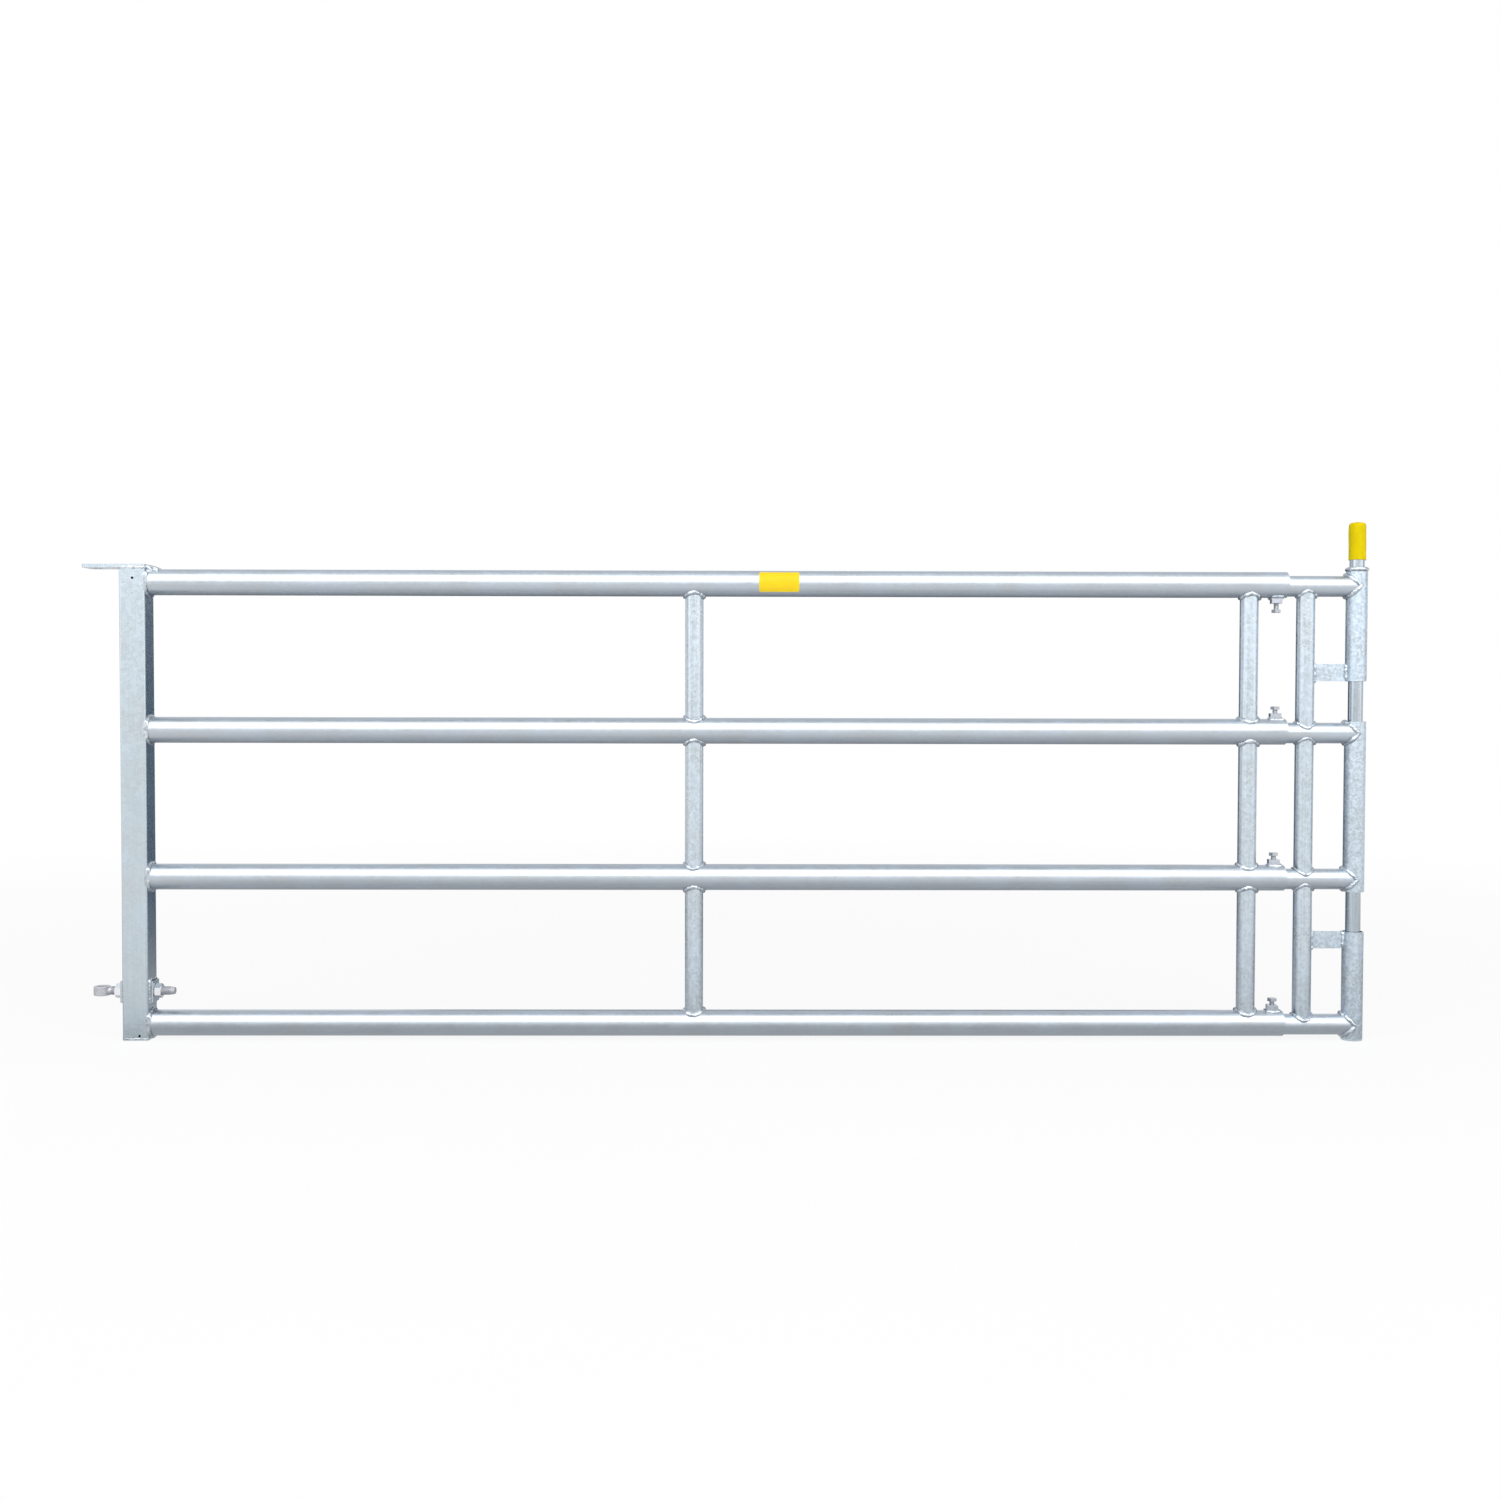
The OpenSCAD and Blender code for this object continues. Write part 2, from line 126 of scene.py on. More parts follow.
def stretched(tree, coords, stretch):
    """The coordinates, multiplied along each axis, to draw a pattern out along a tube."""
    return add_node(tree, "ShaderNodeMapping", {"Vector": coords, "Scale": stretch}).outputs["Vector"]


def cloud(tree, coords, scale, detail=3.0, rough=0.5):
    """Soft irregular patches from 0 to 1."""
    inputs = {"Vector": coords, "Scale": scale, "Detail": detail, "Roughness": rough}
    return add_node(tree, "ShaderNodeTexNoise", inputs).outputs["Fac"]


def span(tree, value, low, high, from_low=0.3, from_high=0.7):
    """A value stretched from one range to another."""
    inputs = {"Value": value, "From Min": from_low, "From Max": from_high, "To Min": low, "To Max": high}
    return add_node(tree, "ShaderNodeMapRange", inputs).outputs["Result"]


def blended(tree, amount, first, second, how="MIX"):
    """Two colours, mixed or multiplied by an amount. The node's colour sockets are its inputs 6 and 7."""
    inputs = {0: amount, 6: first, 7: second}
    return add_node(tree, "ShaderNodeMix", inputs, data_type="RGBA", blend_type=how).outputs[2]


def math_of(tree, how, first, second):
    """Two values put together by one operation, such as a sum."""
    return add_node(tree, "ShaderNodeMath", {0: first, 1: second}, operation=how).outputs["Value"]


def bumped(tree, shader, height, strength, depth):
    """Gives the shader a bump of that depth in metres."""
    node = add_node(tree, "ShaderNodeBump", {"Height": height, "Strength": strength, "Distance": depth})
    tree.links.new(node.outputs["Normal"], shader.inputs["Normal"])

# %% [markdown]
# Hot-dip zinc freezes on the steel in crystals, the spangle, a few millimetres to a centimetre wide, and it runs
# a little, so its gloss is uneven. A photo texture would show its seams and would not export, so the zinc is
# built from three layers: a cell pattern for the spangle, soft clouds for thick and thin zinc, and long fine
# streaks that the drawing of the tube left. A fine noise shifts the edges of the cells, because straight edges
# would look like tiles.

# %% Zinc
MM = 0.001
EDGE_NOISE = 220.0
EDGE_SHIFT = (6 * MM, 6 * MM, 6 * MM)
PATCHES = 11.0
PATCH_SHADE = 0.05
PATCH_TINT = (0.93, 0.97, 1.02)
CRYSTAL_GLOSS = 0.04
SKIN_GRAIN = 70.0
SKIN_STEP = 0.12
SKIN_STRENGTH = 0.25


def spangle_cells(tree, coords, cells):
    """Crystals with uneven edges, each with its own value from 0 to 1."""
    noise = add_node(tree, "ShaderNodeTexNoise", {"Vector": coords, "Scale": EDGE_NOISE, "Detail": 2.0})
    shift = add_node(tree, "ShaderNodeVectorMath", {0: noise.outputs["Color"], 1: EDGE_SHIFT},
                     operation="MULTIPLY")
    uneven = add_node(tree, "ShaderNodeVectorMath", {0: coords, 1: shift.outputs["Vector"]}, operation="ADD")
    crystals = add_node(tree, "ShaderNodeTexVoronoi", {"Vector": uneven.outputs["Vector"], "Scale": cells})
    return add_node(tree, "ShaderNodeSeparateColor", {"Color": crystals.outputs["Color"]}).outputs["Red"]


def zinc_finish(name, colour, spangle, streak_along, streak, gloss, cells, skin_depth):
    """Galvanised steel. spangle and streak are how strongly these two show, gloss is a range of roughness."""
    finish, tree, shader, coords = new_finish(name)
    shader.inputs["Metallic"].default_value = 1.0
    crystal = spangle_cells(tree, coords, cells)
    thick = cloud(tree, coords, PATCHES, detail=4.0, rough=0.6)
    lines = cloud(tree, stretched(tree, coords, streak_along), scale=1.0, rough=0.55)
    light = math_of(tree, "ADD", span(tree, crystal, 1.0 - spangle, 1.0 + spangle, 0.0, 1.0),
                    span(tree, lines, -streak, streak))
    light = math_of(tree, "ADD", light, span(tree, thick, -PATCH_SHADE, PATCH_SHADE))
    cooler = [part * tint for part, tint in zip(colour, PATCH_TINT)]
    patchy = blended(tree, span(tree, thick, 0.0, 1.0), rgba(*colour), rgba(*cooler))
    tree.links.new(blended(tree, 1.0, patchy, light, "MULTIPLY"), shader.inputs["Base Color"])
    uneven = math_of(tree, "ADD", span(tree, crystal, -CRYSTAL_GLOSS, CRYSTAL_GLOSS, 0.0, 1.0),
                     span(tree, thick, *gloss))
    tree.links.new(uneven, shader.inputs["Roughness"])
    skin = math_of(tree, "ADD", cloud(tree, coords, SKIN_GRAIN), span(tree, crystal, 0.0, SKIN_STEP, 0.0, 1.0))
    bumped(tree, shader, skin, SKIN_STRENGTH, skin_depth)
    return finish

# %% [markdown]
# The rails were drawn along X and the uprights along Z, so their streaks run that way. The struts and the lock
# tubes show the strongest spangle, the rails and the post the least. The rod of the lock is the darkest, and its
# streaks, where it rubs in its tube, are the strongest.

# %% Zinc of each kind of tube
ALONG_X = (3.0, 260.0, 260.0)
ALONG_Z = (260.0, 260.0, 3.0)
rail_zinc = zinc_finish("rail_zinc", colour=(0.52, 0.555, 0.59), spangle=0.02, streak_along=ALONG_X,
                        streak=0.04, gloss=(0.31, 0.38), cells=150.0, skin_depth=0.12 * MM)
strut_zinc = zinc_finish("strut_zinc", colour=(0.585, 0.642, 0.683), spangle=0.10, streak_along=ALONG_Z,
                         streak=0.08, gloss=(0.28, 0.35), cells=190.0, skin_depth=0.20 * MM)
latch_zinc = zinc_finish("latch_zinc", colour=(0.55, 0.615, 0.665), spangle=0.17, streak_along=ALONG_Z,
                         streak=0.04, gloss=(0.36, 0.44), cells=210.0, skin_depth=0.20 * MM)
post_zinc = zinc_finish("post_zinc", colour=(0.56, 0.62, 0.655), spangle=0.02, streak_along=ALONG_Z,
                        streak=0.03, gloss=(0.27, 0.31), cells=130.0, skin_depth=0.04 * MM)
rod_zinc = zinc_finish("rod_zinc", colour=(0.49, 0.54, 0.585), spangle=0.03, streak_along=ALONG_Z,
                       streak=0.16, gloss=(0.20, 0.30), cells=200.0, skin_depth=0.20 * MM)
nut_zinc = zinc_finish("nut_zinc", colour=(0.56, 0.58, 0.62), spangle=0.06, streak_along=ALONG_Z,
                       streak=0.02, gloss=(0.26, 0.36), cells=220.0, skin_depth=0.30 * MM)
zincs = (rail_zinc, strut_zinc, latch_zinc, post_zinc, rod_zinc, nut_zinc)
print("zinc finishes:", [zinc.name for zinc in zincs])

# %% [markdown]
# Zinc freezes bright on the crests of a weld and dull between them, so one pattern of spots drives both the
# colour and the gloss of the beads. The bolt, the screws and the hinge nuts were not dipped with the gate. They
# share a second recipe, with rubbed and dull patches: the bolt is dull, the screws are smoother, and the nuts
# are bright.

# %% Weld zinc, bolt steel and bright nuts
def weld_finish(name, dull, bright, gloss):
    """Zinc that froze over the ripples of a weld: bright and lumpy, with dull grey spots."""
    finish, tree, shader, coords = new_finish(name)
    shader.inputs["Metallic"].default_value = 1.0
    spots = cloud(tree, coords, scale=110.0, detail=4.0, rough=0.6)
    colour = blended(tree, span(tree, spots, 0.0, 1.0, 0.40, 0.64), rgba(*dull), rgba(*bright))
    tree.links.new(colour, shader.inputs["Base Color"])
    tree.links.new(span(tree, spots, gloss[1], gloss[0]), shader.inputs["Roughness"])
    bumped(tree, shader, cloud(tree, coords, scale=420.0), strength=0.4, depth=0.7 * MM)
    return finish


def bare_steel_finish(name, dark, pale, gloss):
    """Steel of the bolt, the screws and the hinge nuts, with rubbed and dull patches."""
    finish, tree, shader, coords = new_finish(name)
    shader.inputs["Metallic"].default_value = 1.0
    patches = cloud(tree, coords, scale=190.0, detail=5.0, rough=0.65)
    colour = blended(tree, span(tree, patches, 0.0, 1.0), rgba(*dark), rgba(*pale))
    tree.links.new(colour, shader.inputs["Base Color"])
    tree.links.new(span(tree, patches, gloss[1], gloss[0]), shader.inputs["Roughness"])
    bumped(tree, shader, cloud(tree, coords, scale=900.0, detail=2.0), strength=0.2, depth=0.3 * MM)
    return finish


weld_zinc = weld_finish("weld_zinc", dull=(0.38, 0.42, 0.47), bright=(0.72, 0.76, 0.80), gloss=(0.20, 0.38))
bolt_steel = bare_steel_finish("bolt_steel", dark=(0.50, 0.50, 0.535), pale=(0.57, 0.57, 0.605),
                               gloss=(0.62, 0.72))
screw_steel = bare_steel_finish("screw_steel", dark=(0.46, 0.48, 0.51), pale=(0.64, 0.66, 0.69),
                                gloss=(0.14, 0.26))
bright_steel = bare_steel_finish("bright_steel", dark=(0.86, 0.87, 0.90), pale=(0.94, 0.94, 0.96),
                                 gloss=(0.12, 0.20))
print("weld and bolt finishes:", [steel.name for steel in (weld_zinc, bolt_steel, screw_steel, bright_steel)])

# %% [markdown]
# The grip is soft PVC that was dipped over the rod. It is not metal: its colour comes from within, so the shader
# has Metallic at 0 and a middling roughness, with faint clouds of handling dirt. The sticker is a thin film with
# a little more gloss.

# %% Yellow plastics
def plastic_finish(name, clean, worn, gloss, shine, grain, grain_depth):
    """A coloured plastic with soft patches of wear."""
    finish, tree, shader, coords = new_finish(name)
    shader.inputs["Specular IOR Level"].default_value = shine
    wear = cloud(tree, coords, scale=40.0)
    colour = blended(tree, span(tree, wear, 0.0, 1.0, 0.45, 0.75), rgba(*clean), rgba(*worn))
    tree.links.new(colour, shader.inputs["Base Color"])
    tree.links.new(span(tree, wear, *gloss), shader.inputs["Roughness"])
    bumped(tree, shader, cloud(tree, coords, grain, detail=2.0), strength=0.25, depth=grain_depth)
    return finish


grip_pvc = plastic_finish("grip_pvc", clean=(0.74, 0.58, 0.001), worn=(0.70, 0.545, 0.002),
                          gloss=(0.42, 0.55), shine=0.05, grain=160.0, grain_depth=0.10 * MM)
sticker_film = plastic_finish("sticker_film", clean=(0.93, 0.66, 0.006), worn=(0.90, 0.62, 0.008),
                              gloss=(0.34, 0.42), shine=0.22, grain=120.0, grain_depth=0.05 * MM)
print("plastics:", grip_pvc.name, sticker_film.name)

# %% [markdown]
# The shapes of most tubes and plates are already right in CAD, so they only need a finish. A node's name starts
# with what it is, and a short table from the start of the name to the finish dresses all of them. The first
# match counts, so a longer name stands before a shorter one that it begins with.

# %% Put the finishes on the CAD nodes
FINISH_OF = (
    ("rail_sticker", sticker_film), ("latch_grip", grip_pvc), ("hinge_nut", bright_steel),
    ("hinge_eye", bolt_steel), ("clamp_screw", screw_steel), ("clamp_nut", nut_zinc),
    ("latch_core", bolt_steel), ("latch_plug", bolt_steel), ("latch_rod", rod_zinc),
    ("latch_stop", weld_zinc), ("latch_tube_welds", weld_zinc), ("latch_", latch_zinc),
    ("post_welds", weld_zinc), ("centre_strut_welds", weld_zinc), ("end_strut_welds", weld_zinc),
    ("slide_strut_welds", weld_zinc), ("slide_rail", rail_zinc), ("rail_", rail_zinc),
    ("hinge_post", post_zinc), ("post_foot", post_zinc), ("upper_hinge", post_zinc),
    ("hinge_doubler", post_zinc), ("centre_strut", strut_zinc), ("end_strut", strut_zinc),
    ("slide_strut", strut_zinc),
)


def dress(piece, finish):
    """The piece shows this finish alone."""
    piece.data.materials.clear()
    piece.data.materials.append(finish)


for node_name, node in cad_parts.items():
    dress(node, next(finish for start, finish in FINISH_OF if node_name.startswith(start)))
print("dressed", len(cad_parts), "CAD nodes")

# %% [markdown]
# Modelling by operators is the same as modelling by hand: add a shape, select a part of it, move or cut that
# part. An operator acts on all that is selected, so a script must say what is selected. These helpers clear the
# selection, wake one piece up, and pick edges, faces or points by a rule on their place.

# %% Helpers to select
def start_clean():
    """Nothing is selected, so that an operator meets only what comes next."""
    bpy.ops.object.select_all(action="DESELECT")


def wake(piece):
    """This piece alone is selected and active."""
    start_clean()
    piece.select_set(True)
    bpy.context.view_layer.objects.active = piece


def select_parts(piece, kind, rule):
    """Edit mode with only those edges, faces or points selected that the rule picks."""
    wake(piece)
    bpy.ops.object.mode_set(mode="EDIT")
    bpy.ops.mesh.select_mode(type=kind)
    bpy.ops.mesh.select_all(action="DESELECT")
    bpy.ops.object.mode_set(mode="OBJECT")
    mesh = piece.data
    points = mesh.vertices
    if kind == "EDGE":
        for edge in mesh.edges:
            edge.select = rule(points[edge.vertices[0]].co, points[edge.vertices[1]].co)
    elif kind == "FACE":
        for face in mesh.polygons:
            face.select = rule(face.center, face.normal)
    else:
        for point in points:
            point.select = rule(point.co)
    bpy.ops.object.mode_set(mode="EDIT")

# %% [markdown]
# A piece is finished in small steps too. Its place goes into its mesh, so that it sits at the origin like the
# CAD nodes, and its modifiers are applied. What repeats is modelled once and copied, and each copy has a mesh of
# its own. The last step says what the piece stands for and what it moves with.

# %% Helpers to finish, copy and hand over
def done(piece):
    """Back to object mode, with the piece's place put into its mesh."""
    bpy.ops.object.mode_set(mode="OBJECT")
    wake(piece)
    bpy.ops.object.transform_apply(location=True, rotation=True, scale=True)


def finish_modifier(piece, kind, **settings):
    """A modifier that is applied at once."""
    wake(piece)
    modifier = piece.modifiers.new(kind.lower(), kind)
    for name, value in settings.items():
        setattr(modifier, name, value)
    bpy.ops.object.modifier_apply(modifier=modifier.name)


def smooth(piece, degrees):
    """Rounds the shading where faces meet at less than that angle."""
    wake(piece)
    bpy.ops.object.shade_smooth_by_angle(angle=math.radians(degrees))


def placed_copy(pattern, name, place, turn):
    """A copy of a pattern piece with its own mesh, turned and moved to its place."""
    wake(pattern)
    bpy.ops.object.duplicate()
    copy = bpy.context.object
    copy.name = name
    copy.rotation_euler = turn
    copy.location = place
    bpy.ops.object.transform_apply(location=True, rotation=True, scale=True)
    return copy


def joined(pieces, name):
    """One or more pieces made one."""
    whole = pieces[0]
    wake(whole)
    if len(pieces) > 1:
        for piece in pieces:
            piece.select_set(True)
        bpy.ops.object.join()
    whole.name = name
    return whole


def remove(piece):
    """Takes a pattern away once its copies are made."""
    wake(piece)
    bpy.ops.object.delete()


def hand_over(piece, finish, body, slot, *nodes):
    """A piece's last step: its finish, the body it moves with and the nodes that it stands for. The slot is not
    used.
    """
    dress(piece, finish)
    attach(piece, body)
    if nodes:
        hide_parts(*nodes)
    print(piece.name, "has", len(piece.data.polygons), "faces and moves with", body)

# %% [markdown]
# New pieces go where the CAD model says. Their places could be typed in again, but then they would stay behind
# when the gate changes, so they are read from the boxes of the nodes. Only the radii are written down here: the
# tubes are standard sizes of 60.3, 48.3 and 42.4 mm across.

# %% Measures of the frame
def middle(node_name):
    """The middle of a CAD node's box."""
    low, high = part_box(node_name)
    return (low + high) / 2


LEVELS = ("top", "upper", "lower", "bottom")
RAIL_R = 30.15 * MM
SLIDE_R = 24.15 * MM
LATCH_R = 24.15 * MM
STRUT_R = 21.2 * MM
rail_heights = [middle("rail_" + level).z for level in LEVELS]
slide_heights = [middle("slide_rail_" + level).z for level in LEVELS]
centre_x = middle("centre_strut_top").x
end_x = middle("end_strut_top").x
slide_x = middle("slide_strut_top").x
latch_x = middle("latch_tube_upper").x
clamp_x = middle("clamp_nut_top").x
post_low, post_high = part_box("hinge_post")
bolt_height = middle("hinge_nut_outer").z
print("rails at", [round(z, 4) for z in rail_heights], "latch at x", round(latch_x, 4))

# %% [markdown]
# Every tube of the gate is closed to its neighbour by a fillet weld: a bead about 5 mm wide with a ripple for
# each drop of metal. A bead runs once round a foot, which is round for a tube and square for a nut or a plate,
# and it lies on a seat, which is a tube or a flat face. A curve with a round section could follow one such path,
# but each seat would need its own. So one function bends a torus to any of them: it walks round the foot's rim
# and drops each section onto the seat.

# %% The path of a bead
def rim_point(share, half_x, half_y, corner):
    """The point and the outward direction at a share of the way round a rectangle with round corners."""
    flat = (half_x - corner, half_y - corner)
    arc = corner * math.pi / 2
    way = share * (4 * flat[0] + 4 * flat[1] + 4 * arc)
    for quarter in range(4):
        turn = quarter * math.pi / 2
        out_x, out_y = math.cos(turn), math.sin(turn)
        half = (half_x, half_y)[quarter % 2]
        run = 2 * flat[1 - quarter % 2]
        if way <= run:
            along = way - run / 2
            return out_x * half - out_y * along, out_y * half + out_x * along, out_x, out_y
        way -= run
        if way <= arc or quarter == 3:
            angle = turn + way / corner
            sign_x = 1 if quarter in (0, 3) else -1
            sign_y = 1 if quarter in (0, 1) else -1
            out_x, out_y = math.cos(angle), math.sin(angle)
            return sign_x * flat[0] + corner * out_x, sign_y * flat[1] + corner * out_y, out_x, out_y
        way -= arc


def seat_rise(y, seat_r):
    """How high a tube of that radius stands under a point beside its axis. A flat seat has no radius."""
    return math.sqrt(max(seat_r * seat_r - y * y, 0.0)) if seat_r else 0.0

# %% The bead itself
RIPPLE = 3.2 * MM
RIPPLE_SHARE = 0.14
WAVE_SHARE = 0.13
LEAST_SHARE = 0.90
BEAD_STEPS = 132
BEAD_SIDES = 12


def ring_bead(half_x, half_y, corner, seat_r, leg):
    """A bead round a foot at the origin that stands along +Z on a tube along X, or on a flat face."""
    start_clean()
    bpy.ops.mesh.primitive_torus_add(major_segments=BEAD_STEPS, minor_segments=BEAD_SIDES,
                                     major_radius=1.0, minor_radius=0.25)
    bead = bpy.context.object
    round_length = 4 * (half_x + half_y - 2 * corner) + 2 * math.pi * corner
    for vertex in bead.data.vertices:
        x, y, z = vertex.co
        share = math.atan2(y, x) / (2 * math.pi) % 1.0
        side = math.atan2(z, math.hypot(x, y) - 1.0)
        foot_x, foot_y, out_x, out_y = rim_point(share, half_x, half_y, corner)
        drop = abs(math.sin(math.pi * share * round_length / RIPPLE))
        wave = math.sin(6 * math.pi * share + 1.0) + 0.7 * math.sin(10 * math.pi * share)
        thick = leg * (LEAST_SHARE + RIPPLE_SHARE * drop + WAVE_SHARE * wave)
        outward = thick * math.cos(side)
        vertex.co = (foot_x + out_x * outward, foot_y + out_y * outward,
                     seat_rise(foot_y, seat_r) + thick * math.sin(side))
    bead.data.update()
    return bead

# %% [markdown]
# Beads are laid by hand and then dipped in zinc, so no two are alike: a Displace modifier makes each copy lumpy
# at its own place. What would come through the wall of the tube below is pushed back, because another tube
# slides in there, and nothing stands out further than the gate is thick.

# %% Lumps and limits of a weld
TINY = 1e-7
lump_pattern = bpy.data.textures.new("weld_lumps", "CLOUDS")
lump_pattern.noise_scale = 8 * MM


def made_lumpy(weld, depth):
    """Pushes the skin of a weld in and out by a cloud pattern that is fixed to the gate."""
    finish_modifier(weld, "DISPLACE", texture=lump_pattern, strength=depth, mid_level=0.5,
                    texture_coords="LOCAL")


def stay_in_wall(weld, place, along_x, reach):
    """Pushes out what lies nearer than that reach to the axis of a tube along X, or else along Z."""
    for vertex in weld.data.vertices:
        x, y, z = vertex.co
        off = z - place[2] if along_x else x - place[0]
        grow = max(reach / max(math.hypot(off, y), TINY), 1.0)
        if along_x:
            vertex.co = (x, y * grow, place[2] + off * grow)
        else:
            vertex.co = (place[0] + off * grow, y * grow, z)

# %% Sets of beads
UP = (0, 0, 0)
DOWN = (math.pi, 0, 0)
TO_LATCH = (0, math.pi / 2, 0)
TO_HINGE = (0, -math.pi / 2, 0)
WALL_REACH = 1.6 * MM
BEAD_LUMPS = 3.4 * MM


def weld_set(name, bead, places, body, *nodes, seat_r=None):
    """Copies of one bead at its places, made uneven, joined and kept inside the gate's thickness."""
    copies = []
    for place, turn in places:
        copy = placed_copy(bead, name, place, turn)
        made_lumpy(copy, BEAD_LUMPS)
        if seat_r:
            stay_in_wall(copy, place, turn in (UP, DOWN), seat_r - WALL_REACH)
        copies.append(copy)
    remove(bead)
    welds = joined(copies, name)
    for vertex in welds.data.vertices:
        vertex.co.y = min(max(vertex.co.y, cad_box[0].y), cad_box[1].y)
    welds.data.update()
    smooth(welds, degrees=60)
    hand_over(welds, weld_zinc, body, "weld", *nodes)

# %% [markdown]
# First come the beads that CAD has as plain rings: the ends of the struts on both sets of rails, the rails at
# the post, and the sliding rails at the lock tube. They stand for the CAD rings, which are then hidden.

# %% Beads of struts and rails
def column_places(x, heights):
    """Where a column of struts meets the rails: under each rail but the last, and on each but the first."""
    below = [((x, 0, z), DOWN) for z in heights[:-1]]
    return below + [((x, 0, z), UP) for z in heights[1:]]


STRUT_LEG = 5.6 * MM
SLIDE_LEG = 4.4 * MM
POST_LEG = 6.0 * MM
LATCH_LEG = 6.2 * MM
weld_set("centre_strut_beads", ring_bead(STRUT_R, STRUT_R, STRUT_R, RAIL_R, STRUT_LEG),
         column_places(centre_x, rail_heights), "main_frame", "centre_strut_welds", seat_r=RAIL_R)
weld_set("end_strut_beads", ring_bead(STRUT_R, STRUT_R, STRUT_R, RAIL_R, STRUT_LEG),
         column_places(end_x, rail_heights), "main_frame", "end_strut_welds", seat_r=RAIL_R)
weld_set("slide_strut_beads", ring_bead(STRUT_R, STRUT_R, STRUT_R, SLIDE_R, SLIDE_LEG),
         column_places(slide_x, slide_heights), "sliding_frame", "slide_strut_welds", seat_r=SLIDE_R)
weld_set("post_beads", ring_bead(RAIL_R, RAIL_R, RAIL_R, None, POST_LEG),
         [((post_high.x, 0, z), TO_LATCH) for z in rail_heights], "main_frame", "post_welds")
weld_set("latch_tube_beads", ring_bead(SLIDE_R, SLIDE_R, SLIDE_R, LATCH_R, LATCH_LEG),
         [((latch_x, 0, z), TO_HINGE) for z in slide_heights], "sliding_frame", "latch_tube_welds",
         seat_r=LATCH_R)

# %% [markdown]
# The small plates and nuts are welded on as well, though the CAD model leaves these beads out because they carry
# nothing: round both doubler plates, the foot of each square nut, the ends of the two flat braces, and the
# post's head and foot, where the bead is nearly flush.

# %% Beads of plates and nuts
DOUBLER_HALF = (25.0 * MM, 20.0 * MM)
PLATE_CORNER = 2.0 * MM
INNER_LEG = 5.2 * MM
OUTER_LEG = 3.0 * MM
NUT_HALF = 12.5 * MM
NUT_LEG = 4.2 * MM
weld_set("doubler_beads", ring_bead(*DOUBLER_HALF, PLATE_CORNER, None, INNER_LEG),
         [((post_high.x, 0, bolt_height), TO_LATCH)], "main_frame")
weld_set("outer_doubler_beads", ring_bead(*DOUBLER_HALF, PLATE_CORNER, None, OUTER_LEG),
         [((post_low.x, 0, bolt_height), TO_HINGE)], "main_frame")
weld_set("clamp_nut_beads", ring_bead(NUT_HALF, NUT_HALF, PLATE_CORNER, RAIL_R, NUT_LEG),
         [((clamp_x, 0, z), DOWN if z == rail_heights[0] else UP) for z in rail_heights], "main_frame",
         seat_r=RAIL_R)

# %% Beads of braces and the post's ends
BRACE_HALF = (20.0 * MM, 3.0 * MM)
BRACE_SHORT_HALF = (15.5 * MM, 3.0 * MM)
BRACE_CORNER = 1.2 * MM
BRACE_STRUT_LEG = 4.0 * MM
BRACE_LATCH_LEG = 5.0 * MM
brace_heights = [middle("latch_brace_upper").z, middle("latch_brace_lower").z]
weld_set("brace_strut_beads", ring_bead(*BRACE_HALF, BRACE_CORNER, STRUT_R, BRACE_STRUT_LEG),
         [((slide_x, 0, z), TO_LATCH) for z in brace_heights], "sliding_frame", seat_r=STRUT_R)
weld_set("brace_latch_beads", ring_bead(*BRACE_SHORT_HALF, BRACE_CORNER, LATCH_R, BRACE_LATCH_LEG),
         [((latch_x, 0, z), TO_HINGE) for z in brace_heights], "sliding_frame", seat_r=LATCH_R)

POST_HALF = 30.0 * MM
POST_CORNER = 5.0 * MM
FOOT_HALF = 28.8 * MM
HEAD_LEG = 3.2 * MM
FOOT_LEG = 2.0 * MM
post_x = (post_low.x + post_high.x) / 2
weld_set("post_head_bead", ring_bead(POST_HALF, POST_HALF, POST_CORNER, None, HEAD_LEG),
         [((post_x, 0, post_high.z), DOWN)], "main_frame")
weld_set("post_foot_bead", ring_bead(FOOT_HALF, FOOT_HALF, POST_CORNER, None, FOOT_LEG),
         [((post_x, 0, post_low.z), UP)], "main_frame")

# %% [markdown]
# Behind the post's head a fat lump of weld ties the flat hinge plate to the top rail. It slopes down from the
# plate's end onto the rail. It could be sculpted, but a cube does as well: its far top edge is pulled down to a
# wedge, and then it is cut finer, rounded and made uneven.

# %% Weld lump at the hinge plate
LUMP_LEN = 31.0 * MM
LUMP_WIDE = 38.0 * MM
LUMP_OVERLAP = 4.0 * MM
LUMP_PROUD = 1.0 * MM
LUMP_SUNK = 9.0 * MM
LUMP_SLOPE = 9.0 * MM
LUMP_BUMPS = 5.0 * MM
SAME = 0.01 * MM
plate_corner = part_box("upper_hinge_plate")[1]
lump_top = plate_corner.z + LUMP_PROUD
lump_foot = rail_heights[0] + RAIL_R - LUMP_SUNK
lump_start = plate_corner.x - LUMP_OVERLAP
lump_far = lump_start + LUMP_LEN

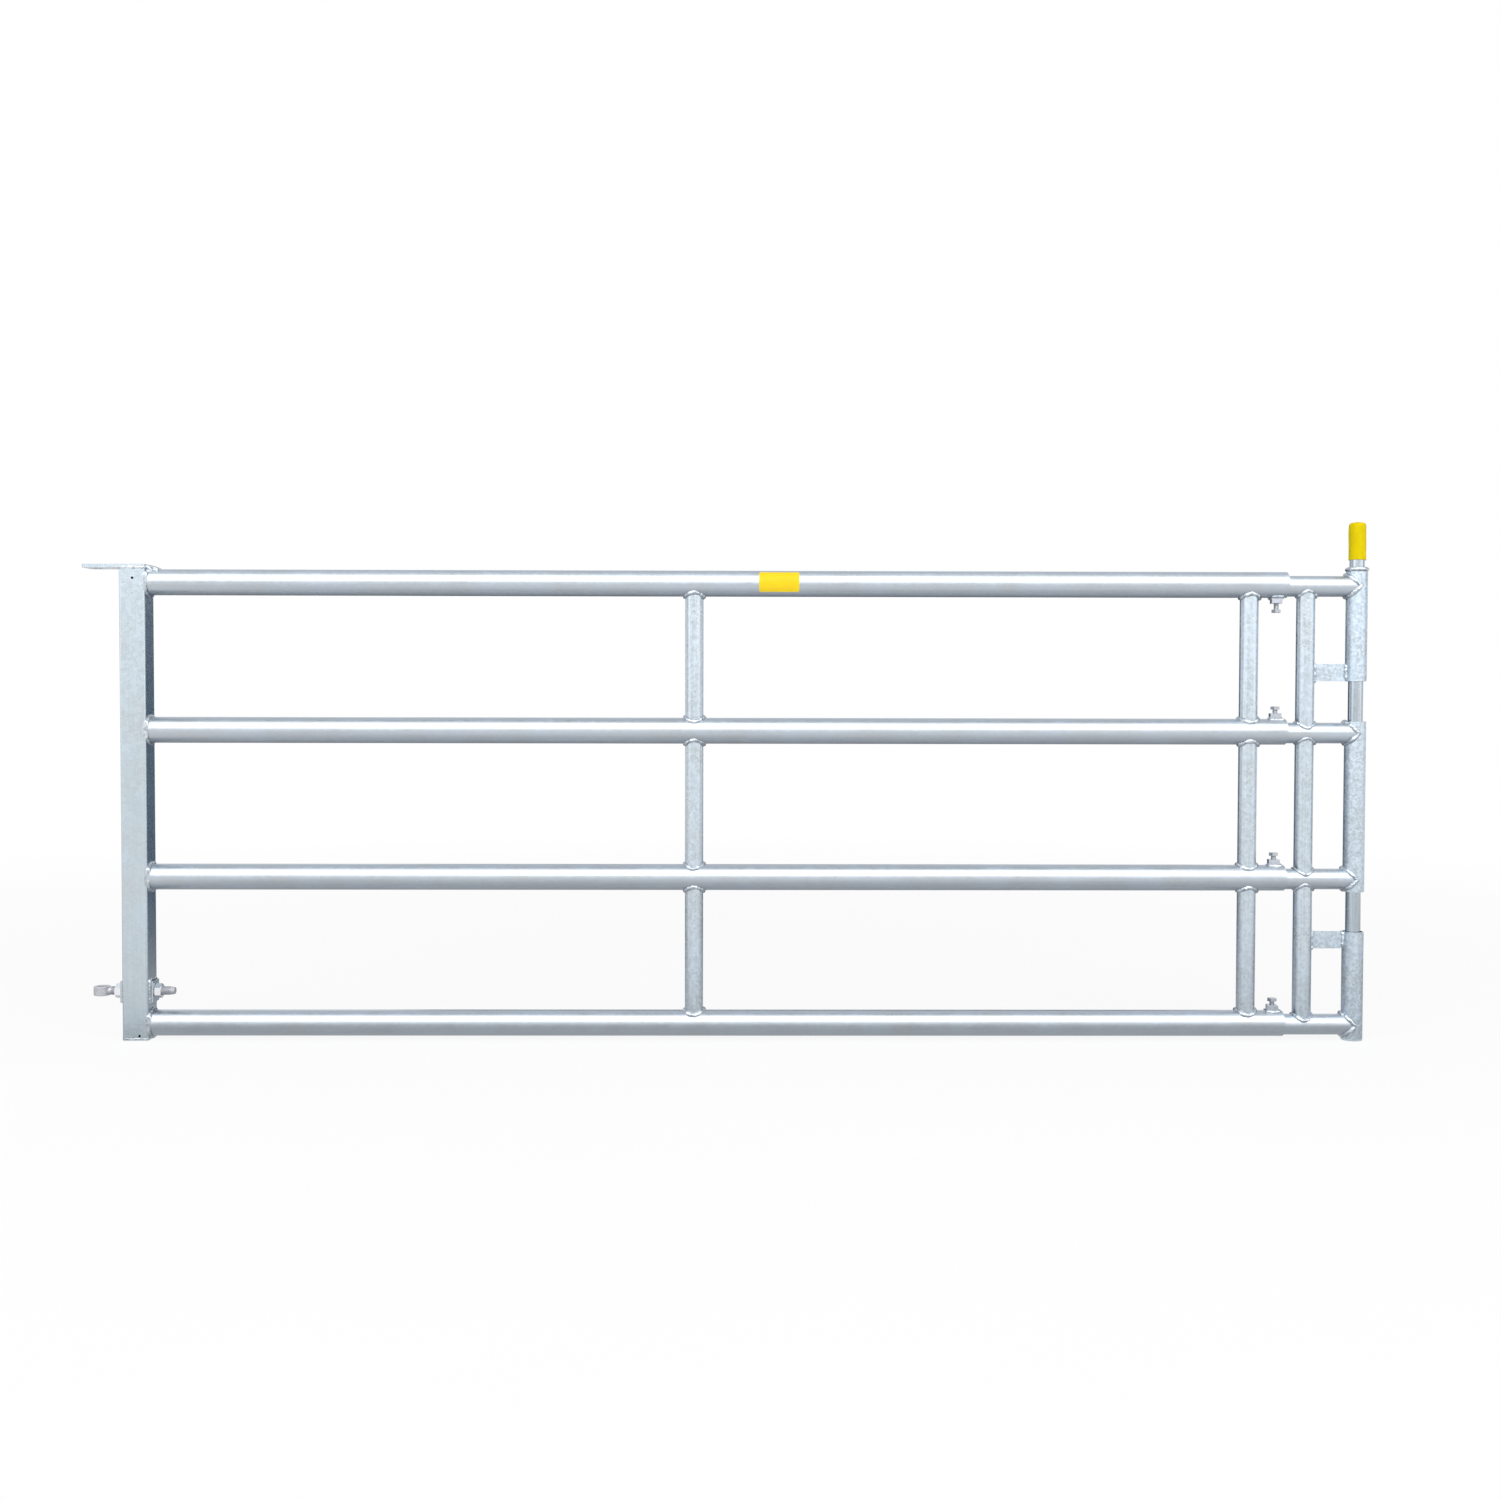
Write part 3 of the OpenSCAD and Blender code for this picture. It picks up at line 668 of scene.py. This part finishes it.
start_clean()
bpy.ops.mesh.primitive_cube_add(
    size=1.0, location=((lump_start + lump_far) / 2, 0, (lump_top + lump_foot) / 2))
plate_lump = bpy.context.object
plate_lump.name = "plate_lump"
plate_lump.scale = (LUMP_LEN, LUMP_WIDE, lump_top - lump_foot)
done(plate_lump)
select_parts(plate_lump, "VERT", lambda co: co.z > lump_top - SAME and co.x > lump_far - SAME)
bpy.ops.transform.translate(value=(0, 0, -LUMP_SLOPE))
bpy.ops.mesh.select_all(action="SELECT")
bpy.ops.mesh.subdivide(number_cuts=3)
done(plate_lump)
finish_modifier(plate_lump, "SUBSURF", levels=3, render_levels=3)
made_lumpy(plate_lump, LUMP_BUMPS)
smooth(plate_lump, degrees=60)
hand_over(plate_lump, weld_zinc, "main_frame", "weld")

# %% [markdown]
# A thread is a ridge that climbs round the bar by one pitch a turn. CAD has it as a stack of rings, which is
# enough for fitting. A Screw modifier could wind a section up, but its end would be cut off square. Here a
# cylinder is cut into many thin rings, and each point of a ring is moved in or out by how far the ridge has
# climbed at its angle. Near the bar's end the ridge fades out, as a rolled thread's does.

# %% Threaded bar
THREAD_SHARE = 0.6
RIDGE_SLOPE = 1.35
ROOT_FLAT = 0.15
END_TAPER = 0.10


def kept(value):
    """A value held between 0 and 1."""
    return min(max(value, 0.0), 1.0)


def threaded_bar(radius, pitch, length, fade, sides, cuts):
    """A bar along +Z from the origin with a helical thread whose crests fall away over its last part."""
    start_clean()
    bpy.ops.mesh.primitive_cylinder_add(vertices=sides, radius=radius, depth=length,
                                        location=(0, 0, length / 2))
    bar = bpy.context.object
    done(bar)
    for number in cuts:
        select_parts(bar, "EDGE", lambda a, b: abs(a.z - b.z) > TINY)
        bpy.ops.mesh.subdivide(number_cuts=number)
        done(bar)
    core = radius - THREAD_SHARE * pitch
    for vertex in bar.data.vertices:
        x, y, z = vertex.co
        climb = (z / pitch - math.atan2(y, x) / (2 * math.pi)) % 1.0
        ridge = kept(RIDGE_SLOPE * (1 - abs(2 * climb - 1)) - ROOT_FLAT)
        left = kept((length - z) / fade)
        root = core * (1 - END_TAPER + END_TAPER * kept(4 * left))
        reach = (root + ridge * (radius - core) * left) / radius
        vertex.co = (x * reach, y * reach, z)
    return bar

# %% [markdown]
# The eye of the bolt, the tips of the screws, the nuts and the grip are all round, as if they came from a lathe.
# A single point is extruded along the outline of one side, and Spin turns that line round the axis. Spin leaves
# a double seam and does not know which side is out, so the doubles are merged and the normals made to point out.

# %% Turned shapes
def turned(name, profile, steps, axis, place):
    """A turned shape. The profile gives distance from the axis and height along it, in millimetres."""
    across, along = (0, 2) if axis == "Z" else (2, 0)
    points = []
    for distance, height in profile:
        point = list(place)
        point[across] += distance * MM
        point[along] += height * MM
        points.append(point)
    start_clean()
    bpy.ops.mesh.primitive_plane_add(size=MM, location=points[0])
    shape = bpy.context.object
    shape.name = name
    done(shape)
    select_parts(shape, "VERT", lambda co: True)
    bpy.ops.mesh.merge(type="CENTER")
    for before, after in zip(points, points[1:]):
        step = [end - start for start, end in zip(before, after)]
        bpy.ops.mesh.extrude_region_move(TRANSFORM_OT_translate={"value": step})
    bpy.ops.mesh.select_all(action="SELECT")
    direction = (0, 0, 1) if axis == "Z" else (1, 0, 0)
    bpy.ops.mesh.spin(steps=steps, angle=2 * math.pi, center=place, axis=direction)
    bpy.ops.mesh.select_all(action="SELECT")
    bpy.ops.mesh.remove_doubles(threshold=SAME)
    bpy.ops.mesh.normals_make_consistent(inside=False)
    done(shape)
    return shape

# %% [markdown]
# The lower hinge is a forged eye on an M20 bolt. The eye is a ring with fat rounded shoulders, and a short neck
# flares into it. A subdivided rough ring would be as soft, but a turned one keeps the bore at its exact size. The
# thread follows the neck to a tapered end.

# %% Eye bolt
EYE_PROFILE = [
    (10.5, -9.6), (11.2, -10.5), (13.0, -11.0), (16.0, -10.8), (18.2, -10.2), (19.0, -9.2), (19.0, 0.0),
    (19.0, 9.2), (18.2, 10.2), (16.0, 10.8), (13.0, 11.0), (11.2, 10.5), (10.5, 9.6), (10.5, 0.0), (10.5, -9.6),
]
NECK_PROFILE = [
    (0.0, 12.6), (10.2, 12.6), (10.4, 16.0), (10.0, 18.4), (9.5, 20.6), (9.3, 23.5), (9.2, 24.5), (0.0, 24.5),
]
BOLT_R = 10.0 * MM
BOLT_PITCH = 2.5 * MM
BOLT_START = 23.0 * MM
BOLT_FADE = 14.0 * MM
bolt_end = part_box("hinge_eye_bolt")[1].x
eye = turned("eye", EYE_PROFILE, steps=72, axis="Z", place=(0, 0, bolt_height))
neck = turned("neck", NECK_PROFILE, steps=48, axis="X", place=(0, 0, bolt_height))
shank = threaded_bar(BOLT_R, BOLT_PITCH, bolt_end - BOLT_START, BOLT_FADE, sides=40, cuts=(22, 22))
shank_placed = placed_copy(shank, "shank", (BOLT_START, 0, bolt_height), TO_LATCH)
remove(shank)
eye_bolt = joined([eye, neck, shank_placed], "eye_bolt")
smooth(eye_bolt, degrees=35)
hand_over(eye_bolt, bolt_steel, "hinge_eye_bolt", "bolt_steel", "hinge_eye_bolt")

# %% [markdown]
# Four hexagon screws press on the sliding rails. A screw is a plain tip, a thread and a head. A real head has
# its corners turned off at 30 degrees, which a Bevel can't do, because the cut is deep at the corners and stops
# at the flats. So the rim is cut finer, and each point of it drops by how far it stands outside the round face.

# %% Head of a clamp screw
SCREW_LEN = 30.0 * MM
HEAD_ACROSS = 19.0 * MM
HEAD_HIGH = 7.5 * MM
FACE_SHARE = 0.95
FACE_INSET = 0.9 * MM
SIXTH = math.pi / 3
FLATS = [SIXTH * (side + 0.5) for side in range(6)]
head_top = SCREW_LEN + HEAD_HIGH
face_r = FACE_SHARE * HEAD_ACROSS / 2

start_clean()
bpy.ops.mesh.primitive_cylinder_add(vertices=6, radius=HEAD_ACROSS / 2 / math.cos(SIXTH / 2), depth=HEAD_HIGH,
                                    location=(0, 0, SCREW_LEN + HEAD_HIGH / 2), rotation=(0, 0, SIXTH / 2))
head = bpy.context.object
done(head)
select_parts(head, "EDGE", lambda a, b: abs(a.z - b.z) < TINY)
bpy.ops.mesh.subdivide(number_cuts=7)
done(head)
select_parts(head, "FACE", lambda centre, normal: normal.z > 0.9)
bpy.ops.mesh.inset(thickness=FACE_INSET)
done(head)
for vertex in head.data.vertices:
    x, y, z = vertex.co
    if z < head_top - 10 * TINY:
        continue
    away = math.hypot(x, y)
    flat_reach = max(x * math.cos(flat) + y * math.sin(flat) for flat in FLATS)
    if flat_reach > HEAD_ACROSS / 2 - 10 * TINY:
        vertex.co.z = head_top - (away - face_r) * math.tan(SIXTH / 2)
    else:
        vertex.co = (x * face_r / away, y * face_r / away, head_top)
head.data.update()
print("screw head has", len(head.data.polygons), "faces")

# %% Clamp screws
SCREW_R = 6.0 * MM
SCREW_PITCH = 1.75 * MM
SCREW_FADE = 1.0 * MM
SCREW_TIP = 4.0 * MM
TIP_OVERLAP = 0.4 * MM
TIP_PROFILE = [(0.0, 0.0), (3.4, 0.0), (4.25, 0.8), (4.25, 4.4), (0.0, 4.4)]
tip = turned("tip", TIP_PROFILE, steps=32, axis="Z", place=(0, 0, 0))
screw_thread = threaded_bar(SCREW_R, SCREW_PITCH, SCREW_LEN - SCREW_TIP + TIP_OVERLAP, SCREW_FADE,
                            sides=32, cuts=(11, 11))
screw_shank = placed_copy(screw_thread, "screw_shank", (0, 0, SCREW_LEN + TIP_OVERLAP), DOWN)
remove(screw_thread)
screw = joined([head, tip, screw_shank], "screw")
for level in LEVELS:
    from_below = level == "top"
    low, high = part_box("clamp_screw_" + level)
    place = (clamp_x, 0, high.z if from_below else low.z)
    placed = placed_copy(screw, "hex_screw_" + level, place, DOWN if from_below else UP)
    smooth(placed, degrees=30)
    hand_over(placed, screw_steel, "clamp_screw_" + level, "bolt_steel", "clamp_screw_" + level)
remove(screw)

# %% [markdown]
# Each screw runs in a plain square nut that is welded to its rail, a little askew. The lathe makes a ring with a
# countersunk hole, and then every outer point of the ring is pushed out to a square with small round corners.
# That keeps the hole round without a cut. The lower points drop onto the rail, so that the block sits on it like
# a saddle.

# %% Square nuts
NUT_CORNER = 1.4 * MM
NUT_SKEW = math.radians(-8)
NUT_RIM = 9.0 * MM
NUT_TOP = 43.15
NUT_PROFILE = [
    (6.2, 20.0), (6.2, NUT_TOP - 1.1), (7.3, NUT_TOP), (11.9, NUT_TOP), (12.5, NUT_TOP - 0.6), (12.5, 20.0),
    (6.2, 20.0),
]
nut_block = turned("nut_block", NUT_PROFILE, steps=72, axis="Z", place=(0, 0, 0))
for vertex in nut_block.data.vertices:
    x, y, z = vertex.co
    away = math.hypot(x, y)
    if away > NUT_RIM:
        x, y = rim_point(math.atan2(y, x) / (2 * math.pi) % 1.0, away, away, NUT_CORNER)[:2]
    vertex.co = (x, y, max(z, seat_rise(y, RAIL_R)))
nut_block.data.update()
for level, rail_height in zip(LEVELS, rail_heights):
    flip = math.pi if level == "top" else 0.0
    placed = placed_copy(nut_block, "square_nut_" + level, (clamp_x, 0, rail_height), (flip, 0, NUT_SKEW))
    smooth(placed, degrees=30)
    hand_over(placed, nut_zinc, "main_frame", "galvanised_matt", "clamp_nut_" + level)
remove(nut_block)

# %% [markdown]
# The grip is a cap of soft PVC. A dipped cap has a slightly fat rim, a round shoulder and a small nub where the
# drop hung, and its side is never quite straight. The profile is turned, and then a soft wide pattern pushes its
# skin about. Sculpting could do that too, but a pattern gives the same grip each time.

# %% Grip
GRIP_PROFILE = [
    (0.0, 83.5), (16.95, 83.5), (16.95, 40.0), (16.95, 0.6), (17.5, 0.0), (19.0, 0.0), (19.75, 0.8), (19.9, 2.2),
    (19.7, 4.0), (19.45, 6.0), (19.3, 14.0), (19.3, 26.0), (19.4, 40.0), (19.5, 54.0), (19.55, 66.0),
    (19.55, 74.0), (19.45, 78.4), (18.9, 81.6), (17.6, 84.2), (15.6, 86.0), (12.8, 86.9), (9.0, 87.2),
    (5.2, 87.2), (4.3, 87.5), (4.0, 88.1), (3.5, 88.6), (2.4, 88.8), (0.0, 88.8),
]
LONG_STEP = 6.0 * MM
GRIP_SAG = 1.0 * MM
grip_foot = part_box("latch_grip")[0].z
grip = turned("grip_cap", GRIP_PROFILE, steps=72, axis="Z", place=(latch_x, 0, grip_foot))
select_parts(grip, "EDGE", lambda a, b: abs(a.z - b.z) > LONG_STEP)
bpy.ops.mesh.subdivide(number_cuts=3)
done(grip)
sag_pattern = bpy.data.textures.new("grip_sag", "CLOUDS")
sag_pattern.noise_scale = 30 * MM
sag_pattern.noise_depth = 0
finish_modifier(grip, "DISPLACE", texture=sag_pattern, strength=GRIP_SAG, mid_level=0.55,
                texture_coords="LOCAL")
smooth(grip, degrees=50)
hand_over(grip, grip_pvc, "latch_rod", "grip", "latch_grip")

# %% [markdown]
# The sticker is a plain film on the top rail's front. A Shrinkwrap could press a sheet onto the rail, but the
# rail is a true cylinder, so it is enough to roll a grid round it by the angle of each point. The corners are
# pulled in to a small radius, and Solidify gives the film its thickness outwards.

# %% Sticker
STICKER_ARC = math.radians(98)
STICKER_TILT = math.radians(7)
STICKER_CORNER = 5.0 * MM
STICKER_IN = 30.27 * MM
STICKER_THICK = 0.26 * MM
sticker_low, sticker_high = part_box("rail_sticker")
sticker_x = (sticker_low.x + sticker_high.x) / 2
half_long = (sticker_high.x - sticker_low.x) / 2
half_round = STICKER_IN * STICKER_ARC / 2

start_clean()
bpy.ops.mesh.primitive_grid_add(x_subdivisions=60, y_subdivisions=40, size=2.0)
sticker = bpy.context.object
sticker.name = "plain_sticker"
for vertex in sticker.data.vertices:
    along, across = vertex.co.x * half_long, vertex.co.y * half_round
    over_x = abs(along) - (half_long - STICKER_CORNER)
    over_y = abs(across) - (half_round - STICKER_CORNER)
    if over_x > 0 and over_y > 0:
        pull = max(over_x, over_y) / math.hypot(over_x, over_y)
        along = math.copysign(half_long - STICKER_CORNER + over_x * pull, along)
        across = math.copysign(half_round - STICKER_CORNER + over_y * pull, across)
    angle = STICKER_TILT + across / STICKER_IN
    vertex.co = (sticker_x + along, -STICKER_IN * math.cos(angle),
                 rail_heights[0] + STICKER_IN * math.sin(angle))
finish_modifier(sticker, "SOLIDIFY", thickness=STICKER_THICK, offset=1.0)
smooth(sticker, degrees=40)
hand_over(sticker, sticker_film, "main_frame", "sticker", "rail_sticker")

# %% [markdown]
# A gate stands outdoors under a wide sky, so the studio copies that: one long soft lamp in front and above, one
# overhead, and a world that is white where it is seen and softer where it lights. An image of a sky could light
# it too, but plain lamps show the colours as they are written.

# %% World
def seen_directly(tree):
    """1 for what the camera sees, also in a reflection or through glass."""
    light_path = tree.nodes.new("ShaderNodeLightPath")
    seen = math_of(tree, "MAXIMUM", light_path.outputs["Is Camera Ray"], light_path.outputs["Is Glossy Ray"])
    return math_of(tree, "MAXIMUM", seen, light_path.outputs["Is Transmission Ray"])


SKY_FILL = 0.42
WHITE = rgba(1.0, 1.0, 1.0)
world = bpy.data.worlds.new("studio")
scene.world = world
world.use_nodes = True
sky_tree = world.node_tree
sky = sky_tree.nodes["Background"]
sky.inputs["Color"].default_value = WHITE
sky_tree.links.new(span(sky_tree, seen_directly(sky_tree), SKY_FILL, 1.0, 0.0, 1.0), sky.inputs["Strength"])
print("the world is white where it is seen, and lights at", SKY_FILL)

# %% Lamps
SKY_SHINE = 1.9
SKY_WIDE = 15.0
SKY_TILT = math.radians(72)
MIDDLE_X = (cad_box[0].x + cad_box[1].x) / 2


def soft_lamp(name, place, tilt, height):
    """A long soft lamp as wide as the sky. Its energy grows with its area, so that its face stays as bright."""
    bpy.ops.object.light_add(type="AREA", location=place, rotation=(tilt, 0, 0))
    lamp = bpy.context.object
    lamp.name = name
    lamp.data.shape = "RECTANGLE"
    lamp.data.size = SKY_WIDE
    lamp.data.size_y = height
    lamp.data.energy = SKY_SHINE * math.pi * SKY_WIDE * height
    lamp.visible_camera = False
    print(lamp.name, "gives", round(lamp.data.energy), "W")


soft_lamp("front_sky", (MIDDLE_X, -6.34, 3.54), tilt=SKY_TILT, height=3.9)
soft_lamp("high_sky", (MIDDLE_X, -4.0, 5.4), tilt=0.0, height=3.4)

# %% [markdown]
# The floor is a wide pale sheet at the gate's foot. Near the gate a small share of it is plain paint that takes
# a faint shadow, and further out it is as white as the world, so that no horizon shows. A curved backdrop could
# hide the horizon as well, but it would stand in the way of the views from behind.

# %% Floor
FLAT = (0, 0, 0)
FLOOR_Z = cad_box[0].z
SHADOW_GLOW = 0.88
SHADOW_NEAR = 1.5
SHADOW_FAR = 6.0


def plain_card(name, size_x, size_y, place, turn):
    """A flat sheet that belongs to the studio."""
    start_clean()
    bpy.ops.mesh.primitive_plane_add(size=1.0, location=place, rotation=turn)
    card = bpy.context.object
    card.name = name
    card.scale = (size_x, size_y, 1.0)
    bpy.ops.object.transform_apply(location=True, rotation=True, scale=True)
    return card


floor = plain_card("floor", 40.0, 40.0, (MIDDLE_X, 0.0, FLOOR_Z), FLAT)
floor_white, tree, shader, coords = new_finish("floor_white")
shader.inputs["Roughness"].default_value = 0.9
paint = blended(tree, span(tree, cloud(tree, coords, scale=3.0), 0.0, 1.0), rgba(0.86, 0.86, 0.86),
                rgba(0.88, 0.88, 0.88))
tree.links.new(paint, shader.inputs["Base Color"])
glow = add_node(tree, "ShaderNodeEmission", {"Color": WHITE, "Strength": 1.0})
away = add_node(tree, "ShaderNodeVectorMath", {0: coords, 1: (MIDDLE_X, 0.0, FLOOR_Z)}, operation="DISTANCE")
glow_share = span(tree, away.outputs["Value"], SHADOW_GLOW, 1.0, SHADOW_NEAR, SHADOW_FAR)
mixed = add_node(tree, "ShaderNodeMixShader", {
    0: math_of(tree, "MULTIPLY", glow_share, seen_directly(tree)),
    1: shader.outputs["BSDF"],
    2: glow.outputs["Emission"],
})
tree.links.new(mixed.outputs["Shader"], tree.nodes["Material Output"].inputs["Surface"])
dress(floor, floor_white)
print("floor at", round(FLOOR_Z, 4))

# %% [markdown]
# Bright tube only looks round if it has something grey to reflect, so, as a photographer would, cards stand
# round the gate. The one on the ground darkens from the front to the back, a smaller one lies before the post, a
# dark one stands behind, a pale one hangs overhead, and two bright ones stand at the sides and turn grey towards
# the gate's own plane. The camera does not see them, and they cast no light or shadow: they only show in
# reflections.

# %% Cards
def grey_card(name, size_x, size_y, place, turn, shades, axis="Y"):
    """A card that only shows in reflections. Its shades are given by their place along Y or X."""
    card = plain_card(name, size_x, size_y, place, turn)
    card.visible_camera = False
    card.visible_diffuse = False
    card.visible_shadow = False
    finish, tree, _, coords = new_finish(name)
    depth = add_node(tree, "ShaderNodeSeparateXYZ", {"Vector": coords}).outputs[axis]
    first, last = shades[0][0], shades[-1][0]
    ramp = add_node(tree, "ShaderNodeValToRGB", {"Fac": span(tree, depth, 0.0, 1.0, first, last)})
    stops = ramp.color_ramp.elements
    while len(stops) < len(shades):
        stops.new(0.5)
    for stop, (distance, shade) in zip(stops, shades):
        stop.position = (distance - first) / (last - first)
        stop.color = rgba(*shade)
    paint = add_node(tree, "ShaderNodeEmission", {"Color": ramp.outputs["Color"], "Strength": 1.0})
    tree.links.new(paint.outputs["Emission"], tree.nodes["Material Output"].inputs["Surface"])
    dress(card, finish)
    print(name, "measures", size_x, "by", size_y, "m")


UPRIGHT = (math.pi / 2, 0, 0)
SIDEWAYS = (math.pi / 2, 0, math.pi / 2)
SLATE = (0.10, 0.14, 0.19)
SIDE_SHINE = (1.6, 1.62, 1.64)
SIDE_SHADE = (0.62, 0.66, 0.70)
SIDE_AWAY = 6.5
BACK_HIGH = 1.3
grey_card("ground_card", 6.4, 7.0, (MIDDLE_X, -0.5, FLOOR_Z + 4 * MM), FLAT,
          [(-4.0, (1.0, 1.0, 1.0)), (-1.3, (0.97, 0.98, 0.99)), (-0.7, (0.80, 0.81, 0.82)),
           (-0.1, (0.58, 0.59, 0.60)), (0.6, (0.43, 0.44, 0.46)), (1.6, (0.16, 0.18, 0.21))])
grey_card("post_card", 3.0, 3.8, (-1.4, -2.15, FLOOR_Z + 8 * MM), FLAT,
          [(-0.35, (0.98, 0.98, 0.98)), (0.1, (0.80, 0.80, 0.80))], axis="X")
grey_card("back_card", 2.9, BACK_HIGH, (1.75, 2.0, FLOOR_Z + BACK_HIGH / 2), UPRIGHT,
          [(0.0, SLATE), (1.0, SLATE)])
grey_card("high_card", 12.0, 4.0, (MIDDLE_X, 2.1, 3.0), FLAT,
          [(0.1, (0.86, 0.90, 0.94)), (4.1, (0.62, 0.68, 0.74))])
for side, side_x in (("left", MIDDLE_X - SIDE_AWAY), ("right", MIDDLE_X + SIDE_AWAY)):
    grey_card(side + "_card", 8.0, 4.4, (side_x, -2.0, FLOOR_Z + 3.0), SIDEWAYS,
              [(-6.0, SIDE_SHINE), (-1.4, SIDE_SHINE), (-0.7, SIDE_SHADE), (2.0, SIDE_SHADE)])

# %% [markdown]
# The dressed gate must not be bigger than the CAD model, because others plan with the CAD sizes. So the box of
# the CAD model is printed.

# %% Sizes and finish
print("box of the CAD model", [list(corner) for corner in cad_box])
